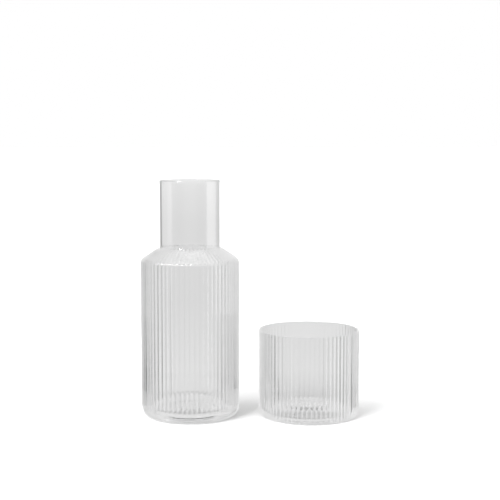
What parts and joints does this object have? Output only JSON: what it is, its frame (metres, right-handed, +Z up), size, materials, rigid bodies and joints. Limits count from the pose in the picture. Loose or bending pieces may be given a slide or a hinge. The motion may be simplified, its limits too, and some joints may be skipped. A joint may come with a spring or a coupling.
{
  "type": "carafe with tumbler",
  "caption": "Clear ribbed glass bedside carafe with a smooth open neck, beside a matching ribbed tumbler that turns over to cover the neck.",
  "frame": {"origin": "middle of the carafe's base, on the surface that both vessels stand on", "axes": "+Z up along the carafe's axis, +X from the carafe towards the tumbler, so the picture looks roughly along +Y"},
  "size_m": [0.1851, 0.0852, 0.2],
  "materials": {
    "clear_glass": "clear, fire-polished"
  },
  "bodies": {
    "carafe": {"carafe": "clear_glass"},
    "tumbler": {"tumbler": "clear_glass"}
  },
  "joints": [
    {"name": "tumbler_lift", "type": "slide", "parent": "carafe", "child": "tumbler", "axis": [0, 0, 1], "range_m": [0, 0.21]}
  ]
}
